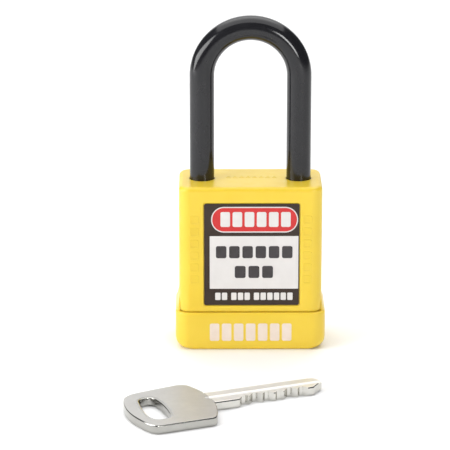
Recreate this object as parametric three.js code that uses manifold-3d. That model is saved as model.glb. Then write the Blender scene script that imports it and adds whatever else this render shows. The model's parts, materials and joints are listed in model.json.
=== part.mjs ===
// Keyed safety padlock with its key lying in front of it.
// Millimetres, +Z up, front face towards -Y. The padlock is drawn in its own frame, centred on
// its underside; the last lines move lock and key so that the middle of their common footprint
// is the origin. The shackle is down, and inside the balls are drawn back, so it is free to lift.
import * as THREE from "three";
import { mergeVertices } from "three/addons/utils/BufferGeometryUtils.js";
import Module from "manifold-3d";

const wasm = await Module();
wasm.setup();

// ---------------------------------------------------------------- driving dimensions
const BODY = { width: 38, depth: 20, top: 44.9, corner: 3, edge: 1.1 };
const WALL = { side: 1.5, front: 1.4, top: 2 };
const CAP = { width: 40, depth: 21.2, height: 10.4, floor: 2.4, corner: 3.6, edge: 1, end: 3 };
const KEY_HOLE = 5.4; // radius of the opening in the cap's floor
const SEAM = 0.25; // open line between the shell and the cap
const EAR = { top: 14.2, halfDepth: 8.2, thickness: 1.25, corner: 2, slope: 3.6, tip: 0.4 };
const SKIRT = { inset: 0.6, bottom: 2.7, gap: 0.2 }; // the shell's rim inside the cap
const LABEL = { width: 25.2, bottom: 12.45, top: 40.5, thickness: 0.3, aside: 0.3, corner: 0.5 };
const LABEL_SEAT = { recess: 0.4, border: 0.2, gap: 0.05 };

const BAR = 6.5; // diameter of the shackle bar
const LEG_X = 12.85;
const CLEARANCE = 37.6; // from the top of the body to the inside of the bend
const LEG_HOLE = 6.8;
const TOE_TIP = 33.7;
const HEEL = { holeBottom: 4.4, headBottom: 12.05, headTop: 14.55, waistTop: 29.05, waistRadius: 2 };
const CHAMFER = { heel: 0.5, toe: 0.8 }; // at the ends of the two legs

const BALL = { radius: 3, level: 37.5, retracted: 6.35, engaged: 7.7, bore: 3.15, notch: 3.2 };
const PLUG = { face: 0.8, radius: 5, bore: 5.1, top: 32.6, neck: 3, flange: 6, ledge: 1.2, open: -90 };
const COLLAR = { bottom: 32.8, top: 33.8, radius: 3.2 }; // ledge that carries the plug's clip
const CLIP = { radius: 4.6, thickness: 0.4, mouth: 3.2, grip: 0.4, groove: 0.5 };
const CUP = { radius: 3.1, thickness: 0.7, pilot: 1.2, height: 2 }; // under the heel, on the spring
const LEG_SPRING = { radius: 2.2, wire: 0.35, turns: 6, stepsPerTurn: 12, flats: 6 };
const CAM = { bottom: 34.6, top: 40.4, gap: 0.12 };
const TANG = { width: 5, thickness: 2.4, top: 37 };
const PIN = { radius: 1.25, hole: 1.35, first: 9.2, pitch: 3.2, driver: 4, end: 4.75, point: 0.8 };
const PIN_SPRING = { radius: 0.95, wire: 0.2, turns: 4, stepsPerTurn: 8, flats: 4 };

const COVER = { inner: 15.6, halfWidth: 1.9, margin: 2 }; // plate over the pin chambers
const BEND_JOIN = { thinner: 0.02, overlap: 0.2 }; // how the straight legs end inside the bend
const RETAINING_PIN = { radius: 1.25, x: -9.45, z: 27.5 }; // stops the shackle coming out

const KEY = { thickness: 2.4, blade: 31, height: 7.4, collar: 6.6, bowLength: 22.5 };
const BOW = { near: -17.3, far: 8.1 }; // the bow's sides, measured from the blade's back edge
const BLADE_TIP = { land: 0.9, slope: 3.4, nose: 3.6, shoulder: 2.4 };
const RING_SLOT = { width: 6.3, length: 16.4, corner: 3, x: 6.7, y: -5.4 };
const GROOVE = { centre: 3.8, width: 2, depth: 0.3, runOut: 0.6 }; // along the blade and into the bow
const WARD = { gap: 0.2, reach: 0.15 }; // the keyway's rib, which runs in the groove
const KEY_PLACE = { x: -33.05, y: -58.83, angle: 22.4 };
const CUTS = [5.6, 4.9, 5.3, 5.8, 4.9, 5.4]; // metal left under each pin, from bow to tip
const CUT_HALF = 0.45; // half the width of a cut's floor; its sides slope at 45 degrees
const CREST = 0.01; // width of the crest left between two cuts
const SPINE_X = -3.9; // back edge of the blade inside the plug

const ROOM = 0.3; // between the lock block and the shell's walls
const BLOCK = {
  halfWidth: BODY.width / 2 - WALL.side - ROOM,
  halfDepth: BODY.depth / 2 - WALL.front - ROOM,
  bottom: CAP.floor + 0.2,
  top: BODY.top - WALL.top - ROOM,
  corner: 1.3,
};
const FIT = 0.1; // clearance around a piece that turns or slides
const SIDES = 24;
const SMALL_SIDES = 16; // on pins and their holes
const PAST = 1; // how far a cutting tool runs past the face it opens

// ---------------------------------------------------------------- solids
const radians = THREE.MathUtils.degToRad;

function solid(geometry) {
  const bare = geometry.index ? geometry.toNonIndexed() : geometry.clone();
  bare.deleteAttribute("normal");
  bare.deleteAttribute("uv");
  const merged = mergeVertices(bare, 1e-4);
  return new wasm.Manifold(
    new wasm.Mesh({
      numProp: 3,
      vertProperties: merged.attributes.position.array,
      triVerts: new Uint32Array(merged.index.array),
    }),
  );
}

const join = (...solids) => solids.reduce((whole, next) => whole.add(next));
const cut = (whole, ...tools) => tools.reduce((rest, tool) => rest.subtract(tool), whole);

function mesh(name, shape, color, metalness, roughness) {
  const { numProp, vertProperties, triVerts } = shape.getMesh();
  const positions = new Float32Array((vertProperties.length / numProp) * 3);
  for (let i = 0; i * 3 < positions.length; i++)
    positions.set(vertProperties.subarray(i * numProp, i * numProp + 3), i * 3);
  const geometry = new THREE.BufferGeometry();
  geometry.setAttribute("position", new THREE.BufferAttribute(positions, 3));
  geometry.setIndex(new THREE.BufferAttribute(triVerts, 1));
  geometry.computeVertexNormals();
  const made = new THREE.Mesh(
    geometry,
    new THREE.MeshStandardMaterial({ color, metalness, roughness }),
  );
  made.name = name;
  return made;
}

const plastic = (name, shape) => mesh(name, shape, "#f5cf38", 0, 0.45);
const sheet = (name, shape) => mesh(name, shape, "#383334", 0, 0.4);
const darkSteel = (name, shape) => mesh(name, shape, "#2b2b2f", 0.7, 0.35);
const nickel = (name, shape) => mesh(name, shape, "#c9c7c0", 1, 0.3);
const brass = (name, shape) => mesh(name, shape, "#c9a657", 1, 0.35);
const zinc = (name, shape) => mesh(name, shape, "#a3a5a8", 0.9, 0.5);
const springSteel = (name, shape) => mesh(name, shape, "#8d9096", 1, 0.35);

function box(x, y, z) {
  const geometry = new THREE.BoxGeometry(x[1] - x[0], y[1] - y[0], z[1] - z[0]);
  return solid(geometry.translate((x[0] + x[1]) / 2, (y[0] + y[1]) / 2, (z[0] + z[1]) / 2));
}

// A round bar along Z, X or Y, from one end to the other.
function bar(radius, from, to, { x = 0, y = 0, z = 0, along = "z", sides = SIDES } = {}) {
  const geometry = new THREE.CylinderGeometry(radius, radius, to - from, sides);
  geometry.translate(0, (from + to) / 2, 0);
  if (along === "z") geometry.rotateX(Math.PI / 2);
  if (along === "x") geometry.rotateZ(-Math.PI / 2);
  return solid(geometry.translate(x, y, z));
}

// A profile of [radius, height] points turned about Z; it starts and ends on the axis.
function turned(profile, { x = 0, y = 0, sides = SIDES } = {}) {
  const points = profile.map(([radius, height]) => new THREE.Vector2(radius, height));
  const geometry = new THREE.LatheGeometry(points, sides).rotateX(Math.PI / 2);
  return solid(geometry.translate(x, y, 0));
}

function extruded(outline, depth, curveSegments = 6) {
  return new THREE.ExtrudeGeometry(outline, { depth, bevelEnabled: false, curveSegments });
}

function roundedOutline(width, depth, radius) {
  const [w, d] = [width / 2, depth / 2];
  const outline = new THREE.Shape();
  outline.absarc(w - radius, d - radius, radius, 0, Math.PI / 2);
  outline.absarc(radius - w, d - radius, radius, Math.PI / 2, Math.PI);
  outline.absarc(radius - w, radius - d, radius, Math.PI, 1.5 * Math.PI);
  outline.absarc(w - radius, radius - d, radius, 1.5 * Math.PI, 2 * Math.PI);
  return outline;
}

// An upright block with round corners, and round top and bottom edges where an edge is given.
function roundedBlock(width, depth, bottom, top, corner, edge = 0) {
  const geometry = new THREE.ExtrudeGeometry(roundedOutline(width, depth, corner), {
    depth: top - bottom - 2 * edge,
    bevelEnabled: edge > 0,
    bevelThickness: edge,
    bevelSize: edge,
    bevelOffset: -edge,
    bevelSegments: 3,
    curveSegments: 5,
  });
  return solid(geometry.translate(0, 0, bottom + edge));
}

// A wound spring about Z, from bottom to top over its outer ends, of wire with an even number
// of flats.
function spring({ radius, wire, bottom, top, turns, stepsPerTurn, flats }) {
  class Helix extends THREE.Curve {
    getPoint(t, target = new THREE.Vector3()) {
      const angle = 2 * Math.PI * turns * t;
      const height = bottom + wire + (top - bottom - 2 * wire) * t;
      return target.set(radius * Math.cos(angle), radius * Math.sin(angle), height);
    }
  }
  const section = new THREE.Shape().absarc(0, 0, wire, 0, 2 * Math.PI);
  return new THREE.ExtrudeGeometry(section, {
    steps: turns * stepsPerTurn,
    curveSegments: flats / 2,
    extrudePath: new Helix(),
  });
}

// ---------------------------------------------------------------- housing
function outerShell() {
  const seam = CAP.height + SEAM;
  const [w, d] = [BODY.width / 2, BODY.depth / 2];
  const outside = cut(
    roundedBlock(BODY.width, BODY.depth, 0, BODY.top, BODY.corner, BODY.edge),
    box([-w - PAST, w + PAST], [-d - PAST, d + PAST], [-PAST, seam]),
  );
  const skirt = roundedBlock(
    BODY.width - 2 * SKIRT.inset,
    BODY.depth - 2 * SKIRT.inset,
    SKIRT.bottom,
    seam + PAST,
    BODY.corner - SKIRT.inset,
  );
  const inside = roundedBlock(
    BODY.width - 2 * WALL.side,
    BODY.depth - 2 * WALL.front,
    0,
    BODY.top - WALL.top,
    BODY.corner - WALL.side,
  );
  const legHoles = [-LEG_X, LEG_X].map((x) => bar(LEG_HOLE / 2, BODY.top - 5, BODY.top + 5, { x }));
  const labelSeats = [-1, 1].map((side) => labelPlate(side, 0));
  const earRoom = EAR.halfDepth + 2 * FIT;
  const earX = CAP.width / 2 - EAR.thickness - FIT;
  const earSeats = [-1, 1].map((side) => {
    const x = [side * earX, side * CAP.width].sort((a, b) => a - b);
    return box(x, [-earRoom, earRoom], [CAP.height - PAST, EAR.top + 2 * FIT]);
  });
  return cut(join(outside, skirt), inside, ...legHoles, ...labelSeats, ...earSeats);
}

// The label on one side (-1 front, 1 back), or the seat that it lies in when its gap is 0.
function labelPlate(side, gap) {
  const seat = gap === 0;
  const border = seat ? LABEL_SEAT.border : 0;
  const bottom = LABEL.bottom - border;
  const height = LABEL.top - LABEL.bottom + 2 * border;
  const outline = roundedOutline(LABEL.width + 2 * border, height, LABEL.corner + border);
  const thickness = seat ? LABEL_SEAT.recess + PAST : LABEL.thickness;
  const geometry = extruded(outline, thickness, 4).rotateX(Math.PI / 2);
  const floor = BODY.depth / 2 - LABEL_SEAT.recess + gap;
  const y = side < 0 ? -floor : floor + thickness;
  return solid(geometry.translate(-side * LABEL.aside, y, bottom + height / 2));
}

function baseCap() {
  const wall = SKIRT.inset - SKIRT.gap;
  const block = roundedBlock(CAP.width, CAP.depth, 0, CAP.height, CAP.corner, CAP.edge);
  const front = extruded(roundedOutline(CAP.width, 2 * CAP.height, CAP.end), CAP.depth + 2 * PAST);
  front.rotateX(Math.PI / 2).translate(0, CAP.depth / 2 + PAST, CAP.height);
  const outside = block.intersect(solid(front));
  const inside = roundedBlock(
    BODY.width - 2 * wall,
    BODY.depth - 2 * wall,
    CAP.floor,
    CAP.height + PAST,
    BODY.corner - wall,
  );
  const ears = [earOnRight(), earOnRight().rotate([0, 0, 180])];
  const keyHole = bar(KEY_HOLE, -PAST, CAP.floor + PAST);
  return cut(join(cut(outside, inside), ...ears), keyHole);
}

// An ear is round-cornered from the side and, from the front, leans in to a thin top.
function earOnRight() {
  const outer = CAP.width / 2;
  const inner = outer - EAR.thickness;
  const side = extruded(roundedOutline(EAR.top, 2 * EAR.halfDepth, EAR.corner), EAR.thickness);
  side.rotateY(Math.PI / 2).translate(inner, 0, EAR.top / 2);
  const front = new THREE.Shape();
  front.moveTo(inner, CAP.height / 2);
  front.lineTo(outer, CAP.height / 2);
  front.lineTo(outer, EAR.top - EAR.slope);
  front.quadraticCurveTo(outer, EAR.top - EAR.tip, inner + EAR.tip, EAR.top);
  front.lineTo(inner, EAR.top);
  const profile = extruded(front, CAP.depth).rotateX(Math.PI / 2).translate(0, CAP.depth / 2, 0);
  return solid(side).intersect(solid(profile));
}

// ---------------------------------------------------------------- lock block
function pinHeights() {
  return CUTS.map((_, i) => PIN.first + i * PIN.pitch);
}

function lockBlock() {
  const heights = pinHeights();
  const [w, top] = [BLOCK.halfWidth, BLOCK.top];
  const coverZ = [heights[0] - COVER.margin, heights.at(-1) + COVER.margin];
  const tools = [
    bar(PLUG.bore, BLOCK.bottom - PAST, COLLAR.bottom),
    bar(PLUG.flange + 2 * FIT, BLOCK.bottom - PAST, BLOCK.bottom + PLUG.ledge + 3 * FIT),
    bar(COLLAR.radius, COLLAR.bottom - PAST, COLLAR.top + PAST),
    bar(PLUG.bore, COLLAR.top, top + PAST),
    bar(LEG_HOLE / 2, HEEL.holeBottom, top + PAST, { x: -LEG_X }),
    bar(LEG_HOLE / 2, TOE_TIP - CHAMFER.toe, top + PAST, { x: LEG_X }),
    bar(BALL.bore, -LEG_X, w + PAST, { z: BALL.level, along: "x" }),
    retainingPin(RETAINING_PIN.radius + FIT / 2, CAP.depth),
    box([COVER.inner - FIT, w + PAST], [-COVER.halfWidth, COVER.halfWidth], coverZ),
    ...heights.map((z) => bar(PIN.hole, PLUG.radius - PAST, w, { z, along: "x", sides: SMALL_SIDES })),
  ];
  const block = roundedBlock(2 * w, 2 * BLOCK.halfDepth, BLOCK.bottom, top, BLOCK.corner);
  return cut(block, ...tools);
}

function retainingPin(radius, halfLength) {
  const { x, z } = RETAINING_PIN;
  return bar(radius, -halfLength, halfLength, { x, z, along: "y", sides: SMALL_SIDES });
}

function ballBoreCover() {
  const inner = LEG_X + LEG_HOLE / 2 + 2 * FIT;
  return bar(BALL.bore - FIT, inner, BLOCK.halfWidth, { z: BALL.level, along: "x" });
}

function chamberCover() {
  const heights = pinHeights();
  const half = COVER.halfWidth - FIT;
  const z = [heights[0] - COVER.margin + FIT, heights.at(-1) + COVER.margin - FIT];
  return box([COVER.inner, BLOCK.halfWidth], [-half, half], z);
}

// ---------------------------------------------------------------- shackle
function shackle() {
  const radius = BAR / 2;
  const centre = BODY.top + CLEARANCE + radius - LEG_X;
  class Bend extends THREE.Curve {
    getPoint(t, target = new THREE.Vector3()) {
      const angle = Math.PI * (1 - t);
      return target.set(LEG_X * Math.cos(angle), 0, centre + LEG_X * Math.sin(angle));
    }
  }
  const section = new THREE.Shape().absarc(0, 0, radius, 0, 2 * Math.PI);
  const bend = solid(
    new THREE.ExtrudeGeometry(section, {
      steps: 20,
      curveSegments: SIDES / 2,
      extrudePath: new Bend(),
    }),
  );
  // The legs run a little way into the bend and are a hair thinner, so they meet it inside.
  const leg = radius - BEND_JOIN.thinner;
  const legTop = centre + BEND_JOIN.overlap;
  const { headBottom, headTop, waistTop, waistRadius } = HEEL;
  const heelProfile = [
    [0, headBottom],
    [leg - CHAMFER.heel, headBottom],
    [leg, headBottom + CHAMFER.heel],
    [leg, headTop],
    [waistRadius, headTop],
    [waistRadius, waistTop],
    [leg, waistTop],
    [leg, legTop],
    [0, legTop],
  ];
  const toeProfile = [
    [0, TOE_TIP],
    [leg - CHAMFER.toe, TOE_TIP],
    [leg, TOE_TIP + CHAMFER.toe],
    [leg, legTop],
    [0, legTop],
  ];
  const notches = [-1, 1].map((side) =>
    bar(BALL.notch, -BAR, BAR, { x: side * BALL.engaged, z: BALL.level, along: "y" }),
  );
  const legs = [turned(heelProfile, { x: -LEG_X }), turned(toeProfile, { x: LEG_X })];
  return cut(join(bend, ...legs), ...notches);
}

function springCup() {
  const top = HEEL.headBottom - FIT;
  const profile = [
    [0, top - CUP.height],
    [CUP.pilot, top - CUP.height],
    [CUP.pilot, top - CUP.thickness],
    [CUP.radius, top - CUP.thickness],
    [CUP.radius, top],
    [0, top],
  ];
  return turned(profile, { x: -LEG_X, sides: 20 });
}

function shackleSpring() {
  const bottom = HEEL.holeBottom + FIT;
  const top = HEEL.headBottom - CUP.thickness - 2 * FIT;
  return solid(spring({ ...LEG_SPRING, bottom, top }).translate(-LEG_X, 0, 0));
}

function ball() {
  return solid(new THREE.SphereGeometry(BALL.radius, 16, 10).rotateX(Math.PI / 2));
}

// ---------------------------------------------------------------- plug and cam
// These are drawn at the locked angle, with the pins on +X; their group is turned to open.
function plug() {
  const { face, radius, top, neck, flange, ledge } = PLUG;
  const low = BLOCK.bottom + FIT;
  const chamfer = 0.3;
  const groove = [COLLAR.top + FIT / 2, COLLAR.top + FIT / 2 + CLIP.groove];
  const profile = [
    [0, face],
    [radius - chamfer, face],
    [radius, face + chamfer],
    [radius, low],
    [flange, low],
    [flange, low + ledge],
    [radius, low + ledge],
    [radius, top],
    [neck, top],
    [neck, groove[0]],
    [neck - CLIP.groove, groove[0]],
    [neck - CLIP.groove, groove[1]],
    [neck, groove[1]],
    [neck, CAM.bottom - FIT],
    [0, CAM.bottom - FIT],
  ];
  const [w, t] = [TANG.width / 2, TANG.thickness / 2];
  const tang = box([-w, w], [-t, t], [CAM.bottom - 2 * FIT, TANG.top]);
  const depth = face + KEY.blade + FIT;
  const half = KEY.thickness / 2 + FIT;
  const slot = box([SPINE_X - FIT, SPINE_X + KEY.height + FIT], [-half, half], [0, depth]);
  const wardX = SPINE_X + GROOVE.centre;
  const wardHalf = GROOVE.width / 2 - WARD.gap;
  const wardTip = KEY.thickness / 2 - WARD.reach;
  const ward = box([wardX - wardHalf, wardX + wardHalf], [wardTip, half + PAST], [0, depth]);
  const holes = CUTS.map((root, i) => {
    const z = PIN.first + i * PIN.pitch;
    return bar(PIN.hole, SPINE_X + root - 4 * FIT, radius + PAST, { z, along: "x", sides: SMALL_SIDES });
  });
  return cut(join(turned(profile), tang), cut(slot, ward), ...holes);
}

function plugClip() {
  const bottom = COLLAR.top + FIT;
  const ring = bar(CLIP.radius, bottom, bottom + CLIP.thickness);
  const hole = bar(PLUG.neck - CLIP.grip, bottom - PAST, bottom + PAST);
  const halfMouth = CLIP.mouth / 2;
  return cut(ring, hole, box([-halfMouth, halfMouth], [0, 2 * CLIP.radius], [0, BODY.top]));
}

// The cam's radius grows evenly from its low sides to its two lobes, a quarter turn away.
function cam() {
  const low = BALL.retracted - BALL.radius - CAM.gap;
  const rise = BALL.engaged - BALL.retracted;
  const steps = 48;
  const outline = new THREE.Shape();
  for (let i = 0; i < steps; i++) {
    const angle = (2 * Math.PI * i) / steps;
    const fromLobe = Math.abs(Math.asin(Math.sin(angle))) / (Math.PI / 2);
    const radius = low + rise * (1 - fromLobe);
    const [x, y] = [radius * Math.cos(angle), radius * Math.sin(angle)];
    if (i === 0) outline.moveTo(x, y);
    else outline.lineTo(x, y);
  }
  const body = solid(extruded(outline, CAM.top - CAM.bottom).translate(0, 0, CAM.bottom));
  const [w, t] = [TANG.width / 2 + FIT, TANG.thickness / 2 + FIT];
  return cut(body, box([-w, w], [-t, t], [CAM.bottom - PAST, TANG.top + 2 * FIT]));
}

// ---------------------------------------------------------------- pins
// A key pin reaches from the blade's cut to the plug's surface, with a pointed inner end.
function keyPin(root, z) {
  const tip = SPINE_X + root + FIT;
  const profile = [
    [0, tip],
    [PIN.radius - PIN.point, tip],
    [PIN.radius, tip + PIN.point],
    [PIN.radius, PIN.end],
    [0, PIN.end],
  ];
  return alongX(profile, z);
}

function driverPin(z) {
  const start = PLUG.bore + FIT;
  const profile = [
    [0, start],
    [PIN.radius - 2 * FIT, start],
    [PIN.radius, start + 2 * FIT],
    [PIN.radius, start + PIN.driver],
    [0, start + PIN.driver],
  ];
  return alongX(profile, z);
}

function alongX(profile, z) {
  const points = profile.map(([radius, x]) => new THREE.Vector2(radius, x));
  const geometry = new THREE.LatheGeometry(points, SMALL_SIDES).rotateZ(-Math.PI / 2);
  return solid(geometry.translate(0, 0, z));
}

function pinSpring(z) {
  const bottom = PLUG.bore + 2 * FIT + PIN.driver;
  const coil = spring({ ...PIN_SPRING, bottom, top: COVER.inner - FIT });
  return solid(coil.rotateY(Math.PI / 2).translate(0, 0, z));
}

// ---------------------------------------------------------------- key
// The blade lies along +X from the bow, its back edge on y = 0 and its cuts towards -Y.
function bladeOutline() {
  const start = KEY.bowLength;
  const tip = start + KEY.blade;
  const land = KEY.height - BLADE_TIP.land;
  const outline = new THREE.Shape();
  outline.moveTo(start - 4, 0);
  outline.lineTo(start - 4, -KEY.height);
  outline.lineTo(start + KEY.collar, -KEY.height);
  CUTS.forEach((root, i) => {
    const x = start + PIN.first - PLUG.face + i * PIN.pitch;
    if (i > 0) {
      const peak = Math.min((CUTS[i - 1] + root + PIN.pitch) / 2 - CUT_HALF, land);
      outline.lineTo(x - PIN.pitch + CUT_HALF + peak - CUTS[i - 1], -peak);
      outline.lineTo(x - CUT_HALF - peak + root + CREST, -peak);
    }
    outline.lineTo(x - CUT_HALF, -root);
    outline.lineTo(x + CUT_HALF, -root);
  });
  const last = start + PIN.first - PLUG.face + (CUTS.length - 1) * PIN.pitch + CUT_HALF;
  outline.lineTo(last + land - CUTS.at(-1), -land);
  outline.lineTo(tip - BLADE_TIP.slope, -land);
  outline.lineTo(tip, -BLADE_TIP.nose);
  outline.lineTo(tip, -BLADE_TIP.shoulder);
  outline.quadraticCurveTo(tip - BLADE_TIP.shoulder / 3, 0, tip - BLADE_TIP.shoulder, 0);
  return outline;
}

function bowOutline() {
  const { near, far } = BOW;
  const front = KEY.bowLength;
  const outline = new THREE.Shape();
  outline.moveTo(3.4, near);
  outline.lineTo(front - 4.9, near);
  outline.quadraticCurveTo(front - 3.5, near, front - 3, near + 1.2);
  outline.quadraticCurveTo(front + 2.8, -4.5, front - 1.6, far - 1.7);
  outline.quadraticCurveTo(front - 2.1, far - 0.3, front - 4.5, far);
  outline.lineTo(9.5, far - 1.1);
  outline.quadraticCurveTo(3, far - 1.5, 1.8, 3.2);
  outline.quadraticCurveTo(-1.2, -4, 0.6, near + 5.7);
  outline.quadraticCurveTo(1.5, near + 0.7, 3.4, near);
  return outline;
}

function key() {
  const { thickness } = KEY;
  const opening = roundedOutline(RING_SLOT.width, RING_SLOT.length, RING_SLOT.corner);
  const ringSlot = extruded(opening, 3 * thickness);
  ringSlot.translate(RING_SLOT.x, RING_SLOT.y, -thickness);
  const grooveY = -GROOVE.centre;
  const grooves = [-1, 1].map((side) => {
    const face = side < 0 ? 0 : thickness;
    const z = [face - GROOVE.depth, face + GROOVE.depth];
    const y = [grooveY - GROOVE.width / 2, grooveY + GROOVE.width / 2];
    return box([KEY.bowLength - GROOVE.runOut, KEY.bowLength + KEY.blade + PAST], y, z);
  });
  const blank = join(
    solid(extruded(bowOutline(), thickness, 8)),
    solid(extruded(bladeOutline(), thickness)),
  );
  return cut(blank, solid(ringSlot), ...grooves);
}

// ---------------------------------------------------------------- assembly
const padlock = new THREE.Group();
padlock.add(
  plastic("outer_shell", outerShell()),
  plastic("base_cap", baseCap()),
  sheet("front_label", labelPlate(-1, LABEL_SEAT.gap)),
  sheet("back_label", labelPlate(1, LABEL_SEAT.gap)),
  zinc("lock_block", lockBlock()),
  darkSteel("shackle", shackle()),
  springSteel("spring_cup", springCup()),
  springSteel("shackle_spring", shackleSpring()),
  springSteel("shackle_retaining_pin", retainingPin(RETAINING_PIN.radius, BLOCK.halfDepth)),
  zinc("cam_chamber_cover", bar(PLUG.bore - FIT, CAM.top + 7 * FIT, BLOCK.top)),
  zinc("ball_bore_cover", ballBoreCover()),
  brass("pin_chamber_cover", chamberCover()),
);

for (const [name, side] of [["heel_ball", -1], ["toe_ball", 1]]) {
  const made = springSteel(name, ball());
  made.position.set(side * BALL.retracted, 0, BALL.level);
  padlock.add(made);
}

const turning = new THREE.Group();
turning.rotation.z = radians(PLUG.open);
turning.add(brass("plug", plug()), springSteel("plug_clip", plugClip()), zinc("cam", cam()));
pinHeights().forEach((z, i) => {
  turning.add(brass(`key_pin_${i + 1}`, keyPin(CUTS[i], z)));
  padlock.add(brass(`driver_pin_${i + 1}`, driverPin(z)));
  padlock.add(springSteel(`pin_spring_${i + 1}`, pinSpring(z)));
});
padlock.add(turning);

const padlockKey = nickel("key", key());
padlockKey.position.set(KEY_PLACE.x, KEY_PLACE.y, 0);
padlockKey.rotation.z = radians(KEY_PLACE.angle);

const product = new THREE.Group();
product.add(padlock, padlockKey);
product.updateMatrixWorld(true);
const footprint = new THREE.Box3().setFromObject(product, true).getCenter(new THREE.Vector3());
product.position.set(-footprint.x, -footprint.y, 0);

export default product;
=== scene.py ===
import json
import math

import bmesh
import bpy
from mathutils import Matrix, Vector

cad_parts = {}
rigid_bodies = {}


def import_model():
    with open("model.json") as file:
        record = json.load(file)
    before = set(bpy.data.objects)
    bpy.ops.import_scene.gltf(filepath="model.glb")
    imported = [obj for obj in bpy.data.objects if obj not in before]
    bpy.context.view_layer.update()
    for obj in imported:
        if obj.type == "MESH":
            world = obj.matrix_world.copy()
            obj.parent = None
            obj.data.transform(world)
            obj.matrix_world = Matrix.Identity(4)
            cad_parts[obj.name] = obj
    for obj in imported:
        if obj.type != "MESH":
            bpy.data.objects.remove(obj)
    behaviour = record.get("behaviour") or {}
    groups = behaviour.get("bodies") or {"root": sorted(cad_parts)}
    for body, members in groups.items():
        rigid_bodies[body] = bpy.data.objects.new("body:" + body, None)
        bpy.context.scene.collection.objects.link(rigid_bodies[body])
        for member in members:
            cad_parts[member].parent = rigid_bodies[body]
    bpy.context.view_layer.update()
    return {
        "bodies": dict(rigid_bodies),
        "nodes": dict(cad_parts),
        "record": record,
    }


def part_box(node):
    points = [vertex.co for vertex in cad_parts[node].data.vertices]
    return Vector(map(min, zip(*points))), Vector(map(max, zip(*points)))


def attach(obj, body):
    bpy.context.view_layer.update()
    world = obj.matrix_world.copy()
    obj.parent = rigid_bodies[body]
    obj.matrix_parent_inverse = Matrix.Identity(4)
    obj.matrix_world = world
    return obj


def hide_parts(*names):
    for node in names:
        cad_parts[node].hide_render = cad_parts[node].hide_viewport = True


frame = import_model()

# Pieces are drawn in millimetres, in the padlock's own frame (centred on its underside, front
# towards -Y) or in the key's (bow at the origin, blade along +X), and are put in place in metres.
MM = 0.001
SHELL_LOW, SHELL_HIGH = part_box("outer_shell")
CAP_LOW, CAP_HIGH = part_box("base_cap")
LABEL_LOW, LABEL_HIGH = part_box("front_label")
KEY_LOW, KEY_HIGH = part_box("key")
KEY_TURN = math.radians(22.4)  # the blade's direction on the floor, from +X
CENTRE = (SHELL_LOW + SHELL_HIGH) / 2
LOCK = Matrix.Translation((CENTRE.x, CENTRE.y, 0)) @ Matrix.Scale(MM, 4)


def span(low, high):
    """The half width, half depth, bottom and top of a box, in millimetres."""
    return (high.x - low.x) / 2 / MM, (high.y - low.y) / 2 / MM, low.z / MM, high.z / MM


SHELL_X, SHELL_Y, SKIRT_Z, SHELL_TOP = span(SHELL_LOW, SHELL_HIGH)
CAP_X, CAP_Y, CAP_Z, EAR_TOP = span(CAP_LOW, CAP_HIGH)
LABEL_X, _, LABEL_BOTTOM, LABEL_TOP = span(LABEL_LOW, LABEL_HIGH)
LABEL_FACE = (CENTRE.y - LABEL_LOW.y) / MM

CAP_TOP = 10.4  # the cap's front wall, under the seam
SEAM = 0.25
LEG_X = 12.85
BAR = 3.25  # the bar's radius
SHACKLE_FOOT, SHACKLE_TOP = (corner.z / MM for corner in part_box("shackle"))


# ---------------------------------------------------------------- meshes
SHARP = math.radians(35)


def rounded_rectangle(half_x, half_y, radius, steps=8):
    """The outline of a rectangle with round corners, anticlockwise."""
    points = []
    for i, (sx, sy) in enumerate(((1, 1), (-1, 1), (-1, -1), (1, -1))):
        for k in range(steps + 1):
            a = math.radians(90 * (i + k / steps))
            x = sx * (half_x - radius) + radius * math.cos(a)
            points.append((x, sy * (half_y - radius) + radius * math.sin(a)))
    return points


def circle(radius, sides=64):
    turns = [2 * math.pi * i / sides for i in range(sides)]
    return [(radius * math.cos(a), radius * math.sin(a)) for a in turns]


def inset(outline, distance):
    """The outline moved inwards by a distance, each corner along its bisector."""
    moved = []
    count = len(outline)
    for i, (x, y) in enumerate(outline):
        before = Vector(outline[i]) - Vector(outline[i - 1])
        after = Vector(outline[(i + 1) % count]) - Vector(outline[i])
        if before.length < 1e-9:
            before = after
        if after.length < 1e-9:
            after = before
        a = Vector((-before.y, before.x)).normalized()
        b = Vector((-after.y, after.x)).normalized()
        bisector = (a + b) / max(1 + a.dot(b), 0.4)
        moved.append((x + distance * bisector.x, y + distance * bisector.y))
    return moved


def loft(rings):
    """A closed mesh through rings of equally many points, with a face over each end."""
    bm = bmesh.new()
    loops = [[bm.verts.new(p) for p in ring] for ring in rings]
    for low, high in zip(loops, loops[1:]):
        for i in range(len(low)):
            j = (i + 1) % len(low)
            bm.faces.new((low[i], low[j], high[j], high[i]))
    bm.faces.new(list(reversed(loops[0])))
    bm.faces.new(loops[-1])
    return bm


def quarter(radius, steps=5, stretch=1.0):
    """Pairs of (inset, height) round a quarter circle that starts flat and ends upright."""
    angles = [math.pi / 2 * i / steps for i in range(steps + 1)]
    return [(radius * (1 - math.sin(a)), stretch * radius * (1 - math.cos(a))) for a in angles]


def plate(outline, bottom, top, low_edge=0.0, high_edge=0.0, steps=5, stretch=1.0):
    """An outline thickened from bottom to top, its edges rounded where a radius is given."""
    low = quarter(low_edge, steps, stretch) if low_edge else [(0, 0)]
    high = quarter(high_edge, steps, stretch) if high_edge else [(0, 0)]
    profile = [(d, bottom + h) for d, h in low] + [(d, top - h) for d, h in reversed(high)]
    rings = []
    for distance, z in profile:
        flat = inset(outline, distance) if distance else outline
        rings.append([(x, y, z) for x, y in flat])
    return loft(rings)


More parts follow.
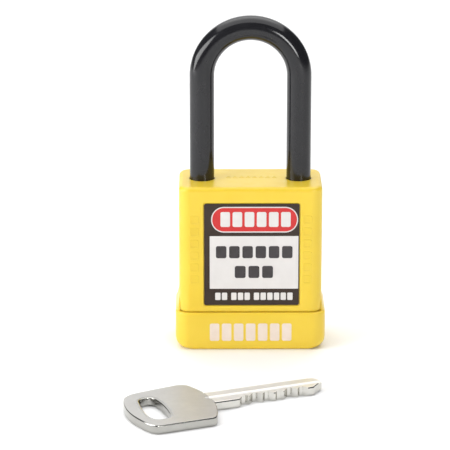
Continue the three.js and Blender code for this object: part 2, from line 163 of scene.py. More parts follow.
def mouth(outline, depth, flare, steps=4):
    """A cutter that sinks an outline to a depth below z = 0, opening out round its rim."""
    rings = [[(x, y, -depth) for x, y in outline]]
    for d, h in quarter(flare, steps)[::-1]:
        rings.append([(x, y, -h) for x, y in inset(outline, -d)])
    rings.append([(x, y, flare) for x, y in inset(outline, -flare)])
    return loft(rings)


def solid(bm, place=None):
    """An object of the mesh, to cut with or to be cut."""
    if place is not None:
        bm.transform(place)
    bmesh.ops.recalc_face_normals(bm, faces=bm.faces)
    mesh = bpy.data.meshes.new("work")
    bm.to_mesh(mesh)
    bm.free()
    obj = bpy.data.objects.new("work", mesh)
    bpy.context.scene.collection.objects.link(obj)
    return obj


def combine(base, operation, *others):
    for other in others:
        step = base.modifiers.new("step", "BOOLEAN")
        step.operation = operation
        step.solver = "EXACT"
        step.object = other
    graph = bpy.context.evaluated_depsgraph_get()
    mesh = bpy.data.meshes.new_from_object(base.evaluated_get(graph))
    base.modifiers.clear()
    base.data = mesh
    for other in others:
        bpy.data.objects.remove(other)
    return base


def cut(base, *others):
    return combine(base, "DIFFERENCE", *others)


def join(base, *others):
    return combine(base, "UNION", *others)


def merge(objects):
    """Separate shapes as one object, without cutting them into each other."""
    bm = bmesh.new()
    for obj in objects:
        bm.from_mesh(obj.data)
        bpy.data.objects.remove(obj)
    return solid(bm)


def shade(obj):
    """Smooth faces, with hard edges where the surface turns by more than SHARP."""
    bm = bmesh.new()
    bm.from_mesh(obj.data)
    bmesh.ops.remove_doubles(bm, verts=bm.verts, dist=1e-4)
    for face in bm.faces:
        face.smooth = True
    for edge in bm.edges:
        edge.smooth = len(edge.link_faces) == 2 and edge.calc_face_angle(0) < SHARP
    bm.to_mesh(obj.data)
    bm.free()
    weighted = obj.modifiers.new("weighted_normals", "WEIGHTED_NORMAL")
    weighted.keep_sharp = True


def finish_piece(obj, name, place, material, body, slot, *nodes):
    """Names a finished shape, puts it in the row frame and says what it rides on and replaces."""
    shade(obj)
    obj.data.transform(place)
    obj.name = name
    obj.data.name = name
    obj.data.materials.clear()
    obj.data.materials.append(material)
    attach(obj, body)
    if nodes:
        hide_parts(*nodes)
    return obj


def on_front(surface):
    """Lays a plate drawn in x and y on the padlock's front, its height away from the surface."""
    return Matrix.Translation((0, -surface, 0)) @ Matrix.Rotation(math.pi / 2, 4, "X")


HALF_TURN = Matrix.Rotation(math.pi, 4, "Z")


def on_back(surface):
    return HALF_TURN @ on_front(surface)


def on_side(surface):
    """Lays a plate drawn in x and y on the +X side, with its x along Y and its y along Z."""
    turn = Matrix(((0, 0, 1, 0), (1, 0, 0, 0), (0, 1, 0, 0), (0, 0, 0, 1)))
    return Matrix.Translation((surface, 0, 0)) @ turn


# ---------------------------------------------------------------- materials
class Nodes:
    """A material's node tree, with short calls for the nodes used here."""

    def __init__(self, name):
        self.material = bpy.data.materials.new(name)
        self.material.use_nodes = True
        self.tree = self.material.node_tree
        self.shader = self.tree.nodes["Principled BSDF"]
        coordinates = self.tree.nodes.new("ShaderNodeTexCoord")
        self.place = coordinates.outputs["Object"]

    def link(self, source, target):
        self.tree.links.new(source, target)

    def noise(self, size, detail=3.0, stretch=None, turn=0.0):
        """Noise whose blotches are about size metres across, drawn out along stretch."""
        source = self.place
        if stretch:
            mapping = self.tree.nodes.new("ShaderNodeMapping")
            mapping.inputs["Scale"].default_value = stretch
            mapping.inputs["Rotation"].default_value = (0, 0, turn)
            self.link(source, mapping.inputs["Vector"])
            source = mapping.outputs["Vector"]
        node = self.tree.nodes.new("ShaderNodeTexNoise")
        node.inputs["Scale"].default_value = 1 / size
        node.inputs["Detail"].default_value = detail
        self.link(source, node.inputs["Vector"])
        return node.outputs["Fac"]

    def spread(self, factor, low, high, start=0.3, end=0.7):
        node = self.tree.nodes.new("ShaderNodeMapRange")
        node.inputs["From Min"].default_value = start
        node.inputs["From Max"].default_value = end
        node.inputs["To Min"].default_value = low
        node.inputs["To Max"].default_value = high
        self.link(factor, node.inputs["Value"])
        return node.outputs["Result"]

    def mix(self, factor, a, b):
        node = self.tree.nodes.new("ShaderNodeMix")
        node.data_type = "RGBA"
        self.link(factor, node.inputs["Factor"])
        node.inputs["A"].default_value = (*a, 1)
        node.inputs["B"].default_value = (*b, 1)
        return node.outputs["Result"]

    def bump(self, height, distance, strength=1.0, under=None):
        node = self.tree.nodes.new("ShaderNodeBump")
        node.inputs["Strength"].default_value = strength
        node.inputs["Distance"].default_value = distance
        self.link(height, node.inputs["Height"])
        if under is not None:
            self.link(under, node.inputs["Normal"])
        return node.outputs["Normal"]

    def colour(self, source):
        self.link(source, self.shader.inputs["Base Color"])

    def roughness(self, factor, low, high):
        self.link(self.spread(factor, low, high), self.shader.inputs["Roughness"])

    def normal(self, source):
        self.link(source, self.shader.inputs["Normal"])

    def set(self, **values):
        for name, value in values.items():
            self.shader.inputs[name.replace("_", " ")].default_value = value


def printed(name, light, dark, rough=(0.35, 0.5), gloss=0.5):
    """Printed ink: an even colour with a faint mottle and a slight gloss change."""
    n = Nodes(name)
    n.set(Specular_IOR_Level=gloss)
    n.colour(n.mix(n.spread(n.noise(0.0025, 4), 0, 1), light, dark))
    n.roughness(n.noise(0.0015, 3), *rough)
    n.normal(n.bump(n.noise(0.0002, 2), 0.000003, 0.5))
    return n.material


def metal(name, light, dark, rough, stretch=(1, 1, 1)):
    """Bare or plated metal: tone drift, uneven polish and fine marks along one direction."""
    n = Nodes(name)
    n.set(Metallic=1.0)
    n.colour(n.mix(n.spread(n.noise(0.004, 4), 0, 1), light, dark))
    marks = n.noise(0.0006, 4, stretch)
    n.roughness(marks, *rough)
    dents = n.bump(n.noise(0.0015, 3), 0.000012, 0.5)
    n.normal(n.bump(marks, 0.000004, 0.7, dents))
    return n.material


def make_housing_plastic():
    """Yellow moulded plastic: slow tone drift, a fine matt grain and faint flow marks."""
    n = Nodes("housing_plastic")
    n.set(Subsurface_Weight=0.12, Subsurface_Scale=0.0006, Subsurface_Radius=(1.0, 0.6, 0.1))
    tone = n.spread(n.noise(0.012, 3), 0, 1)
    n.colour(n.mix(tone, (0.82, 0.59, 0.045), (0.79, 0.555, 0.037)))
    n.roughness(n.noise(0.003, 4), 0.28, 0.36)
    flow = n.bump(n.noise(0.006, 2), 0.00004)
    n.normal(n.bump(n.noise(0.00012, 2), 0.000004, 0.6, flow))
    return n.material


def make_shackle_coat():
    """A semi-gloss black coat on steel: a slight tone drift, uneven gloss and a soft waviness."""
    n = Nodes("shackle_coat")
    n.set(Specular_IOR_Level=0.44)
    tone = n.spread(n.noise(0.008, 4), 0, 1)
    n.colour(n.mix(tone, (0.009, 0.009, 0.011), (0.014, 0.014, 0.016)))
    n.roughness(n.noise(0.004, 3), 0.1, 0.17)
    n.normal(n.bump(n.noise(0.005, 2), 0.00003, 0.6))
    return n.material


def make_milled_nickel():
    """The blade's plated sides, brighter than the bow, with fine lines along them."""
    n = Nodes("milled_nickel")
    n.set(Metallic=0.4)
    lines = n.noise(0.0006, 2, (0.03, 1, 1), -KEY_TURN)
    tone = n.spread(lines, 0, 1)
    n.colour(n.mix(tone, (0.745, 0.735, 0.712), (0.695, 0.685, 0.662)))
    n.roughness(n.noise(0.002, 3), 0.28, 0.38)
    n.normal(n.bump(lines, 0.000002, 0.5))
    return n.material


def make_tumbled_nickel():
    """Nickel plate left matt by tumbling, with a few fine scratches."""
    n = Nodes("tumbled_nickel")
    n.set(Metallic=0.25, Specular_IOR_Level=0.3)
    tone = n.spread(n.noise(0.004, 5), 0, 1)
    n.colour(n.mix(tone, (0.45, 0.443, 0.427), (0.42, 0.413, 0.397)))
    n.roughness(n.noise(0.0012, 4), 0.3, 0.42)
    grain = n.bump(n.noise(0.00015, 3), 0.000004, 0.5)
    scratches = n.noise(0.0005, 3, (0.06, 1, 1), -KEY_TURN)
    n.normal(n.bump(scratches, 0.000004, 0.5, grain))
    return n.material


HOUSING = make_housing_plastic()
COAT = make_shackle_coat()
FILM = printed("label_film", (0.03, 0.017, 0.011), (0.038, 0.023, 0.016), (0.3, 0.42), 0.35)
WHITE_INK = printed("white_ink", (0.72, 0.695, 0.675), (0.69, 0.665, 0.645))
RED_INK = printed("red_ink", (0.6, 0.02, 0.02), (0.56, 0.017, 0.017))
BLACK_INK = printed("black_ink", (0.03, 0.025, 0.027), (0.045, 0.038, 0.04))
PALE_INK = printed("pale_ink", (0.8, 0.69, 0.6), (0.76, 0.64, 0.54))
NICKEL = make_tumbled_nickel()
MILLED = make_milled_nickel()
# The bow's upright faces: the blade sides' polished nickel made darker, as painted shade
EDGE = metal("bow_edge_painted_shade", (0.43, 0.425, 0.4), (0.39, 0.385, 0.36), (0.1, 0.18))
POLISHED = metal("polished_nickel", (0.66, 0.65, 0.61), (0.6, 0.59, 0.55), (0.08, 0.16))
BRASS = metal("turned_brass", (0.75, 0.54, 0.24), (0.66, 0.46, 0.19), (0.22, 0.38), (1, 1, 6))
STEEL = metal("bright_steel", (0.56, 0.57, 0.59), (0.48, 0.49, 0.51), (0.16, 0.32), (1, 1, 4))
ZINC = metal("cast_zinc", (0.5, 0.51, 0.53), (0.42, 0.43, 0.45), (0.4, 0.6))
MACHINED = metal("machined_aluminium", (0.68, 0.69, 0.71), (0.6, 0.61, 0.63), (0.25, 0.42), (1, 1, 10))

SLOT_MATERIALS = {
    "housing": HOUSING,
    "label": FILM,
    "shackle_bar": COAT,
    "block": MACHINED,
    "zinc": ZINC,
    "brass": BRASS,
    "steel": STEEL,
    "key_metal": NICKEL,
}
for part in frame["record"]["subparts"]:
    node = frame["nodes"][part["node"]]
    node.data.materials.clear()
    node.data.materials.append(SLOT_MATERIALS[part["material_slot"]])


# ---------------------------------------------------------------- housing
SHELL_CORNER = 3.0
TOP_EDGE, BOTTOM_EDGE = 1.2, 0.3
WALL_X, WALL_Y, WALL_TOP = 1.5, 1.4, 2.0
SKIRT_INSET = 0.6
SKIRT_GAP = 0.2
CAP_FLOOR = 2.4
LEG_HOLE = 3.4
KEY_HOLE = 5.4
LABEL_RECESS = 0.4
LABEL_BORDER = 0.2
LABEL_CORNER = 0.5
LABEL_ASIDE = 0.3  # the label sits a little to the right of the middle
EAR_HALF = 8.2
EAR_FOOT = 4.0
EAR_THICK = 1.25
EAR_CORNER = 2.2
EAR_SLOPE = 5.4  # height over which the ear's outer face curves in to the shell
EAR_RISE = 0.95  # how far it stands out at its foot
EAR_TAPER = 0.8  # how much narrower its outer face gets on that slope
EAR_GAP, EAR_BACK_GAP = 0.08, 0.06


def ear_outline(low, high, grow=0.0):
    """The ear seen from the side: x runs from back to front and y is height."""
    outline = rounded_rectangle(EAR_HALF + grow, (high - low) / 2, EAR_CORNER)
    return [(x, y + (low + high) / 2) for x, y in outline]


def make_ear(low):
    """An ear on the +X side, thin at its top and flush with the cap at its foot."""
    rings = [[(x, y, -EAR_THICK) for x, y in ear_outline(low, EAR_TOP)]]
    steps = 12
    for i in range(steps + 1):
        t = i / steps
        sunk = -EAR_RISE * (1 + math.cos(math.pi * t)) / 2
        outline = ear_outline(low, EAR_TOP - EAR_SLOPE * t, -EAR_TAPER * t)
        rings.append([(x, y, sunk) for x, y in outline])
    return loft(rings)


def label_outline(border=0.0):
    half_z = (LABEL_TOP - LABEL_BOTTOM) / 2
    middle = (LABEL_TOP + LABEL_BOTTOM) / 2
    outline = rounded_rectangle(LABEL_X + border, half_z + border, LABEL_CORNER + border)
    return [(x + LABEL_ASIDE, y + middle) for x, y in outline]


def make_shell():
    bottom = CAP_TOP + SEAM
    outline = rounded_rectangle(SHELL_X, SHELL_Y, SHELL_CORNER)
    shell = solid(plate(outline, bottom, SHELL_TOP, BOTTOM_EDGE, TOP_EDGE, 8))
    skirt = solid(plate(inset(outline, SKIRT_INSET), SKIRT_Z, bottom + WALL_TOP))
    inner = rounded_rectangle(SHELL_X - WALL_X, SHELL_Y - WALL_Y, SHELL_CORNER - WALL_X)
    cavity = solid(plate(inner, 0, SHELL_TOP - WALL_TOP))
    tools = [cavity]
    for side in (-1, 1):
        hole = Matrix.Translation((side * LEG_X, 0, SHELL_TOP))
        tools.append(solid(mouth(circle(LEG_HOLE), 2 * WALL_TOP, 0.1), hole))
    for lay in (on_front, on_back):
        seat = mouth(label_outline(LABEL_BORDER), LABEL_RECESS, 0.18)
        tools.append(solid(seat, lay(SHELL_Y)))
    for turn in (Matrix.Identity(4), HALF_TURN):
        outline = ear_outline(0, EAR_TOP + EAR_GAP, EAR_GAP)
        seat = plate(outline, -EAR_THICK - EAR_BACK_GAP, EAR_THICK)
        tools.append(solid(seat, turn @ on_side(CAP_X)))
    shell = cut(join(shell, skirt), *tools)
    shell = merge([shell, *side_marks(), *top_marks()])
    finish_piece(shell, "body_shell", LOCK, HOUSING, "padlock", "housing", "outer_shell")


def ring_mark(half_x, half_y, stroke, height):
    """A raised outline of a small round-cornered rectangle."""
    outer = rounded_rectangle(half_x, half_y, stroke * 1.2, 4)
    inner = rounded_rectangle(half_x - stroke, half_y - stroke, stroke * 0.5, 4)
    raised = solid(plate(outer, -0.05, height, 0, height * 0.8, 3))
    return cut(raised, solid(plate(inner, -1, 1)))


def side_marks():
    """Raised marks in a column down each side of the label, where such a body is embossed."""
    marks = []
    aside, bottom, top, count = 15.0, 17.9, 37.7, 6
    pitch = (top - bottom) / count
    for x in (-aside, aside):
        for i in range(count):
            mark = ring_mark(half_x=1.25, half_y=0.36 * pitch, stroke=0.42, height=0.1)
            place = Matrix.Translation((x, bottom + pitch * (i + 0.5), 0))
            mark.data.transform(on_front(SHELL_Y) @ place)
            marks.append(mark)
    return marks


def top_marks():
    """A short raised row on the top face, between the legs."""
    count, pitch, behind = 8, 1.75, 0.9
    marks = []
    for i in range(count):
        mark = ring_mark(half_x=0.62, half_y=0.8, stroke=0.3, height=0.06)
        x = (i - (count - 1) / 2) * pitch + LABEL_ASIDE
        mark.data.transform(Matrix.Translation((x, behind, SHELL_TOP)))
        marks.append(mark)
    return marks


def make_cap():
    """The base cap: its long bottom edges are crisp and its ends well rounded."""
    end_round, face_round, lip = 3.0, 1.1, 0.55
    corner, steps = 3.6, 10
    rings = []
    for a in [math.pi / 2 * i / steps for i in range(steps + 1)]:
        dx = end_round * (1 - math.sin(a))
        dy = face_round * (1 - math.sin(a))
        z = CAP_Z + end_round * (1 - math.cos(a))
        flat = rounded_rectangle(CAP_X - dx, CAP_Y - dy, corner - dy)
        rings.append([(x, y, z) for x, y in flat])
    for d, h in reversed(quarter(lip, 5)):
        flat = rounded_rectangle(CAP_X - d, CAP_Y - d, corner - d)
        rings.append([(x, y, CAP_TOP - h) for x, y in flat])
    cap = solid(loft(rings))
    wall = SKIRT_INSET - SKIRT_GAP
    inner = rounded_rectangle(SHELL_X - wall, SHELL_Y - wall, SHELL_CORNER - wall)
    cap = cut(cap, solid(plate(inner, CAP_FLOOR, 2 * CAP_TOP)))
    ears = []
    for turn in (Matrix.Identity(4), HALF_TURN):
        ears.append(solid(make_ear(EAR_FOOT), turn @ on_side(CAP_X)))
    cap = join(cap, *ears)
    turned_down = Matrix.Rotation(math.pi, 4, "X")
    key_hole = solid(mouth(circle(KEY_HOLE), 2 * CAP_FLOOR, 0.4), turned_down)
    cap = cut(cap, key_hole)
    finish_piece(cap, "base_cap_shell", LOCK, HOUSING, "padlock", "housing", "base_cap")


# ---------------------------------------------------------------- label
INK = 0.03  # thickness of one printed layer
FILM_DEPTH, FILM_EDGE = 0.3, 0.08
RIM = 0.3  # white border of the red field
# Fields and lines of print: left, right, bottom, top.
HEADER = (-10.45, 12.5, 32.65, 39.7)
RED_FIELD = (HEADER[0] + RIM, HEADER[1] - RIM, HEADER[2] + RIM, HEADER[3] - RIM)
PANEL = (-10.85, 12.65, 17.05, 31.65)
HEADER_LINE = (-8.0, 10.55, 34.2, 38.3)
PANEL_LINES = ((6, (-9.2, 11.1, 25.55, 28.9)), (3, (-4.2, 5.95, 20.05, 23.4)))
FOOT_LINE = (-9.4, 11.2, 13.9, 15.95)
BASE_LINE = (-10.85, 10.95, 2.65, 7.5)
BACK_PANEL = (-11.3, 11.3, 13.8, 39.0)
RULE_HEIGHTS = (17.0, 21.5, 26.0, 30.5, 35.0)


def box_outline(left, right, bottom, top, radius, steps=6):
    outline = rounded_rectangle((right - left) / 2, (top - bottom) / 2, radius, steps)
    return [(x + (left + right) / 2, y + (bottom + top) / 2) for x, y in outline]


def block_row(words, left, right, bottom, top):
    """Outlines of plain blocks in groups, spread over a line: a stand-in for a line of print."""
    letter_gap, word_gap, corner = 0.26, 0.75, 0.18
    letters = sum(words)
    cells = letters + letter_gap * (letters - len(words)) + word_gap * (len(words) - 1)
    width = (right - left) / cells
    radius = corner * min(width, top - bottom)
    outlines = []
    x = left
    for word in words:
        for _ in range(word):
            outlines.append(box_outline(x, x + width, bottom, top, radius, 4))
            x += width * (1 + letter_gap)
        x += width * (word_gap - letter_gap)
    return outlines


def ink(outlines, layer, lay, surface=LABEL_FACE):
    """Printed shapes, on a layer of their own above the surface."""
    place = lay(surface + layer * INK)
    return [solid(plate(outline, -0.02, INK), place) for outline in outlines]


def finish_print(shapes, name, material):
    finish_piece(merge(shapes), name, LOCK, material, "padlock", "label")


def make_film(name, lay, node):
    film = solid(plate(label_outline(), -FILM_DEPTH, 0, 0, FILM_EDGE), lay(LABEL_FACE))
    finish_piece(film, name, LOCK, FILM, "padlock", "label", node)


def make_front_label():
    make_film("front_label_film", on_front, "front_label")
    white = ink([box_outline(*PANEL, 0.1), box_outline(*HEADER, 3.4, 12)], 0, on_front)
    white += ink(block_row((6,), *HEADER_LINE), 2, on_front)
    white += ink(block_row((2, 3, 6), *FOOT_LINE), 0, on_front)
    finish_print(white, "front_label_white", WHITE_INK)
    finish_print(ink([box_outline(*RED_FIELD, 3.05, 12)], 1, on_front), "front_label_red", RED_INK)
    lines = [block for count, line in PANEL_LINES for block in block_row((count,), *line)]
    finish_print(ink(lines, 1, on_front), "front_label_dark", BLACK_INK)


def make_back_label():
    make_film("back_label_film", on_back, "back_label")
    finish_print(ink([box_outline(*BACK_PANEL, 0.6)], 0, on_back), "back_label_white", WHITE_INK)
    rules = [box_outline(-9.5, 9.5, z, z + 0.3, 0.1, 2) for z in RULE_HEIGHTS]
    finish_print(ink(rules, 1, on_back), "back_label_rules", BLACK_INK)


def make_base_print():
    """A plain row of pale blocks on the base cap's front."""
    finish_print(ink(block_row((7,), *BASE_LINE), 0, on_front, CAP_Y), "base_print", PALE_INK)


# ---------------------------------------------------------------- shackle
HEEL_CHAMFER = 0.5
WAIST = 2.0  # the heel leg's radius where the retaining pin runs beside it
WAIST_START, WAIST_END = 2.5, 17  # above the heel leg's foot
TOE_TIP = 33.7
NOTCH_X, NOTCH_Z, NOTCH_RADIUS = 7.7, 37.5, 3.2  # where the balls enter the legs
BEND_STEPS = 56


def make_shackle():
    """One bar swept from the heel's foot, over the bend, to the toe's tip."""
    centre = SHACKLE_TOP - BAR - LEG_X
    waist_low, waist_high = SHACKLE_FOOT + WAIST_START, SHACKLE_FOOT + WAIST_END
    heel = [
        (SHACKLE_FOOT, BAR - HEEL_CHAMFER),
        (SHACKLE_FOOT + HEEL_CHAMFER, BAR),
        (waist_low, BAR),
        (waist_low, WAIST),
        (waist_high, WAIST),
        (waist_high, BAR),
        (SHELL_TOP, BAR),
    ]
    toe = [
        (SHELL_TOP, BAR),
        (TOE_TIP + 0.8, BAR),
        (TOE_TIP + 0.25, BAR - 0.45),
        (TOE_TIP, BAR - 0.9),
    ]
    rings = [ring_at((-LEG_X, 0, z), 0, radius) for z, radius in heel]
    for i in range(BEND_STEPS + 1):
        a = math.pi * i / BEND_STEPS
        middle = (-LEG_X * math.cos(a), 0, centre + LEG_X * math.sin(a))
        rings.append(ring_at(middle, a, BAR))
    rings += [ring_at((LEG_X, 0, z), math.pi, radius) for z, radius in toe]
    shackle = solid(loft(rings))
    notches = []
    for side in (-1, 1):
        across = Matrix.Rotation(-math.pi / 2, 4, "X")
        lay = Matrix.Translation((side * NOTCH_X, -2 * BAR, NOTCH_Z)) @ across
        notches.append(solid(plate(circle(NOTCH_RADIUS, 48), 0, 4 * BAR), lay))
    shackle = cut(shackle, *notches)
    finish_piece(shackle, "shackle_bar", LOCK, COAT, "shackle", "shackle_bar", "shackle")


def ring_at(middle, turn, radius, sides=48):
    """A circle across the bar, turned from the level about Y as the bar bends over."""
    points = []
    for x, y in circle(radius, sides):
        points.append(
            (middle[0] + x * math.cos(turn), middle[1] + y, middle[2] - x * math.sin(turn))
        )
    return points


# ---------------------------------------------------------------- key
KEY_THICK = (KEY_HIGH.z - KEY_LOW.z) / MM
SHOULDER = 22.5
BLADE = 31.0
BLADE_HEIGHT = 7.4
COLLAR = 6.6
CUTS = (5.6, 4.9, 5.3, 5.8, 4.9, 5.4)
FIRST_CUT, CUT_PITCH, CUT_HALF = 8.4, 3.2, 0.45
CREST = 0.01  # width of the crest left between two cuts
LAND = BLADE_HEIGHT - 0.9  # the blade's near edge past its collar
BOW_NEAR, BOW_FAR = -17.3, 8.1
KEY_EDGE = 0.28  # how far its edges round in; they round more along the thickness
GROOVE_Y = -3.8


def bezier(start, control, end, steps=10):
    """Points of a quadratic curve after its start."""
    points = []
    for i in range(1, steps + 1):
        t = i / steps
        a, b, c = (1 - t) ** 2, 2 * t * (1 - t), t * t
        x = a * start[0] + b * control[0] + c * end[0]
        points.append((x, a * start[1] + b * control[1] + c * end[1]))
    return points


def bitting():
    """What the cutting wheel takes off the blade's near edge: a row of V cuts with flat floors."""
    deep = -BLADE_HEIGHT - 1.5
    first = SHOULDER + FIRST_CUT - CUT_HALF
    points = [(first - 1.0, deep), (first - 1.0, -BLADE_HEIGHT), (first, -CUTS[0])]
    for i, root in enumerate(CUTS):
        x = SHOULDER + FIRST_CUT + i * CUT_PITCH
        if i:
            peak = min((CUTS[i - 1] + root + CUT_PITCH) / 2 - CUT_HALF, LAND)
            points.append((x - CUT_PITCH + CUT_HALF + peak - CUTS[i - 1], -peak))
            points.append((x - CUT_HALF - peak + root + CREST, -peak))
            points.append((x - CUT_HALF, -root))
        points.append((x + CUT_HALF, -root))
    last = points[-1][0] + LAND - CUTS[-1]
    points += [(last, -LAND), (last, deep)]
    return list(reversed(points))


def blank_edge():
    """The blade before its cuts are made: its near edge from the bow out, and round the tip."""
    tip = SHOULDER + BLADE
    end = SHOULDER + COLLAR
    points = [(end, -BLADE_HEIGHT), (end + 1.2, -LAND), (tip - 3.4, -LAND), (tip, -3.6), (tip, -2.4)]
    return points + bezier(points[-1], (tip - 0.8, 0), (tip - 2.4, 0), 6)


def key_outline():
    """The whole key seen from above, anticlockwise from the near end of the bow."""
    near, far, front = BOW_NEAR, BOW_FAR, SHOULDER
    points = [(3.4, near), (front - 4.9, near)]
    points += bezier(points[-1], (front - 3.5, near), (front - 3, near + 1.2), 5)
    side = bezier(points[-1], (front + 2.8, -4.5), (front - 1.6, far - 1.7), 40)
    points += [p for p in side if p[1] < -BLADE_HEIGHT]
    points.append((SHOULDER, -BLADE_HEIGHT))
    points += blank_edge()
    points.append((SHOULDER - 0.2, 0))
    points += [p for p in side if p[1] > 0.4]
    points += bezier(points[-1], (front - 2.1, far - 0.3), (front - 4.5, far), 6)
    points += bezier(points[-1], (14, far - 0.4), (9.5, far - 1.1), 6)
    points += bezier(points[-1], (3, far - 1.5), (1.8, 3.2), 10)
    points += bezier(points[-1], (-1.2, -4), (0.6, near + 5.7), 14)
    points += bezier(points[-1], (1.5, near + 0.7), (3.4, near), 8)[:-1]
    return points


def slot_outline():
    """The slot for a key ring: it leans with the bow's left side and narrows towards its far end."""
    near = bezier((6.2, -13.0), (8.5, -13.1), (9.1, -10.2))
    points = near + bezier(near[-1], (10.3, -4.0), (9.5, 0.7), 6)
    points += bezier(points[-1], (9.2, 2.4), (7.8, 2.3), 8)
    points += bezier(points[-1], (6.0, 2.4), (5.1, 1.0), 8)
    points += bezier(points[-1], (3.5, -5.85), (3.6, -9.5), 8)
    return points + bezier(points[-1], (3.7, -13.0), (6.2, -13.0))


def ring_slot():
    """A cutter for half of the slot's depth: a wide shallow rim, then a rounded drop."""
    slot = slot_outline()
    rim, sink, drop = 0.45, 0.12, 0.28
    profile = [(0, -KEY_THICK)]
    profile += [(d, -sink - h) for d, h in reversed(quarter(drop, 5))]
    profile += [(drop + rim, 0), (drop + 2 * rim, sink)]
    return loft([[(x, y, z) for x, y in inset(slot, -d)] for d, z in profile])


def blade_groove():
    """A cutter for the shallow groove along the blade, its sides sloping."""
    section = [(-0.6, -0.3), (0.6, -0.3), (1.2, 0.3), (-1.2, 0.3)]
    ends = (SHOULDER - 1.2, SHOULDER + BLADE + 1)
    return loft([[(x, y + GROOVE_Y, z) for y, z in section] for x in ends])


def make_key():
    key = solid(plate(key_outline(), 0, KEY_THICK, KEY_EDGE, KEY_EDGE, 8, 2.3))
    upper = Matrix.Translation((0, 0, KEY_THICK))
    lower = Matrix.Scale(-1, 4, (0, 0, 1))
    tools = [solid(plate(bitting(), -1, 2 * KEY_THICK))]
    for face in (upper, lower):
        tools.append(solid(ring_slot(), face))
        tools.append(solid(blade_groove(), face))
    key = cut(key, *tools)
    split_across(key, SHOULDER)
    place = key_place()
    finish_piece(key, "padlock_key", place, NICKEL, "key", "key_metal", "key")
    # Bow flats take the tumbled nickel and blade flats the milled; upright faces take polished nickel,
    # made darker on the bow as painted shade
    for material in (EDGE, MILLED, POLISHED):
        key.data.materials.append(material)
    to_key = place.inverted()
    for face in key.data.polygons:
        on_blade = (to_key @ face.center).x > SHOULDER
        upright = abs(face.normal.z) < 0.99
        face.material_index = 2 * on_blade + upright


def split_across(obj, x):
    """Adds an edge loop where a plane across X meets the mesh."""
    bm = bmesh.new()
    bm.from_mesh(obj.data)
    geometry = [*bm.verts, *bm.edges, *bm.faces]
    bmesh.ops.bisect_plane(bm, geom=geometry, plane_co=(x, 0, 0), plane_no=(1, 0, 0))
    bm.to_mesh(obj.data)
    bm.free()


def key_place():
    """Turns the key and sets it so that its outline fills the CAD key's box."""
    turn = Matrix.Rotation(KEY_TURN, 4, "Z")
    corners = [turn @ Vector((x, y, 0)) for x, y in key_outline()]
    middle_x = (min(c.x for c in corners) + max(c.x for c in corners)) / 2
    middle_y = (min(c.y for c in corners) + max(c.y for c in corners)) / 2
    box_middle = (KEY_LOW + KEY_HIGH) / 2
    shift = Matrix.Translation((box_middle.x - middle_x * MM, box_middle.y - middle_y * MM, 0))
    return shift @ turn @ Matrix.Scale(MM, 4)


# ---------------------------------------------------------------- stage
LIGHT_DISTANCE = 0.8
PANEL_HEIGHT = 0.9
FLOOR_HALF = 6
FLOOR_GAP = 0.00005
LENS, SENSOR = 211.6, 36
CAMERA_PLACE = (-10.3, -680, 232.7)  # from the middle of the padlock's underside
CAMERA_TILT, CAMERA_TURN = math.radians(73.54), math.radians(-0.3)
DIM, WHITE = (0.1, 0.1, 0.105, 1), (1.2, 1.2, 1.2, 1)
SWEEP_MIDDLE = (0, 0.97, 0.243)
SWEEP_EDGE = (75, 50)  # it fades in between these angles from its middle
SWEEP_SIDES = (55, 68)  # and between these angles from the left and the right


def area_light(name, place, target, along, width, height, power):
    """A soft light facing the target, with its height along the given direction."""
    light = bpy.data.lights.new(name, "AREA")
    light.shape = "RECTANGLE"
    light.size = width
    light.size_y = height
    light.energy = power
    obj = bpy.data.objects.new(name, light)
    bpy.context.scene.collection.objects.link(obj)
    back = (place - target).normalized()
    up = (along - back * along.dot(back)).normalized()
    axes = Matrix((up.cross(back), up, back)).transposed().to_4x4()
    obj.matrix_world = Matrix.Translation(place) @ axes


def strip_light(name, low, high, width, power):
    """A long light that runs between two directions seen from the padlock."""
    middle = LOCK @ Vector((0, 0, 40))
    low, high = (middle + LIGHT_DISTANCE * Vector(end) for end in (low, high))
    along = high - low
    area_light(name, (low + high) / 2, middle, along, width, along.length, power)


def overhead_panel(name, behind, width, depth, power):
    """A wide level light over the padlock, its middle a little behind it."""
    place = Vector((CENTRE.x, CENTRE.y + behind, PANEL_HEIGHT))
    area_light(name, place, place - Vector((0, 0, 1)), Vector((0, 1, 0)), width, depth, power)


def make_floor():
    bm = bmesh.new()
    bmesh.ops.create_grid(bm, x_segments=8, y_segments=8, size=FLOOR_HALF)
    floor = solid(bm, Matrix.Translation((0, 0, -FLOOR_GAP)))
    floor.name = "floor"
    n = Nodes("pale_floor")
    tone = n.spread(n.noise(0.3, 2), 0, 1)
    n.colour(n.mix(tone, (0.95, 0.95, 0.95), (0.93, 0.93, 0.93)))
    n.roughness(n.noise(0.05, 3), 0.75, 0.9)
    floor.data.materials.append(n.material)


def world_band(tree, direction, axis, start, end):
    """Rises from 0 to 1 as the angle between a direction and an axis goes from start to end."""
    dot = tree.nodes.new("ShaderNodeVectorMath")
    dot.operation = "DOT_PRODUCT"
    dot.inputs[1].default_value = axis
    tree.links.new(direction, dot.inputs[0])
    band = tree.nodes.new("ShaderNodeMapRange")
    band.interpolation_type = "SMOOTHSTEP"
    band.inputs["From Min"].default_value = math.cos(math.radians(start))
    band.inputs["From Max"].default_value = math.cos(math.radians(end))
    tree.links.new(dot.outputs["Value"], band.inputs["Value"])
    return band.outputs["Result"]


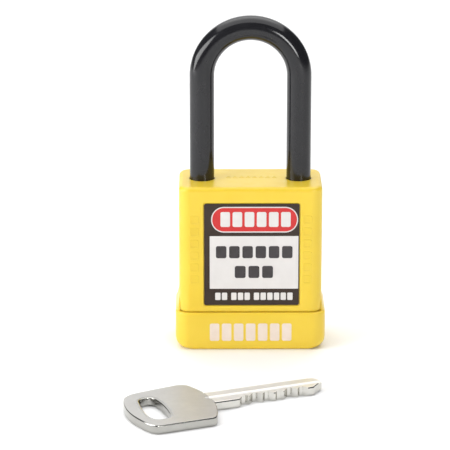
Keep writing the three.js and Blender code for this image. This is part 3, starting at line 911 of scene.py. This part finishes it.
def make_world():
    """A dim studio with a white sweep of limited width behind the padlock."""
    world = bpy.data.worlds.new("studio")
    bpy.context.scene.world = world
    world.use_nodes = True
    tree = world.node_tree
    direction = tree.nodes.new("ShaderNodeTexCoord").outputs["Generated"]
    mix = tree.nodes.new("ShaderNodeMix")
    mix.data_type = "RGBA"
    mix.inputs["A"].default_value = DIM
    mix.inputs["B"].default_value = WHITE
    factor = world_band(tree, direction, SWEEP_MIDDLE, *SWEEP_EDGE)
    for axis in ((1, 0, 0), (-1, 0, 0)):
        side = tree.nodes.new("ShaderNodeMath")
        side.operation = "MULTIPLY"
        tree.links.new(factor, side.inputs[0])
        tree.links.new(world_band(tree, direction, axis, *SWEEP_SIDES), side.inputs[1])
        factor = side.outputs["Value"]
    tree.links.new(factor, mix.inputs["Factor"])
    background = tree.nodes["Background"]
    tree.links.new(mix.outputs["Result"], background.inputs["Color"])
    background.inputs["Strength"].default_value = 1.0


def make_camera():
    """A long lens, a little above and left of the padlock, looking down at it."""
    data = bpy.data.cameras.new("camera")
    data.sensor_width = SENSOR
    data.lens = LENS
    camera = bpy.data.objects.new("camera", data)
    bpy.context.scene.collection.objects.link(camera)
    camera.location = LOCK @ Vector(CAMERA_PLACE)
    camera.rotation_euler = (CAMERA_TILT, 0, CAMERA_TURN)
    bpy.context.scene.camera = camera


def clear_start_scene():
    """Removes whatever the empty file came with, but not the frame."""
    kept = set(frame["nodes"].values()) | set(frame["bodies"].values())
    for obj in list(bpy.data.objects):
        if obj not in kept:
            bpy.data.objects.remove(obj)


clear_start_scene()
make_camera()
make_floor()
make_world()
strip_light("left_strip", (-0.99, 0.03, 0.05), (-0.63, -0.62, 0.47), 0.3, 4.4)
strip_light("right_strip", (0.49, -0.86, 0.06), (0.36, -0.84, 0.41), 0.14, 2.0)
overhead_panel("top_panel", 0.2, 1.5, 1.3, 10.8)
bpy.context.scene.view_settings.view_transform = "Standard"

make_shell()
make_cap()
make_front_label()
make_back_label()
make_base_print()
make_shackle()
make_key()
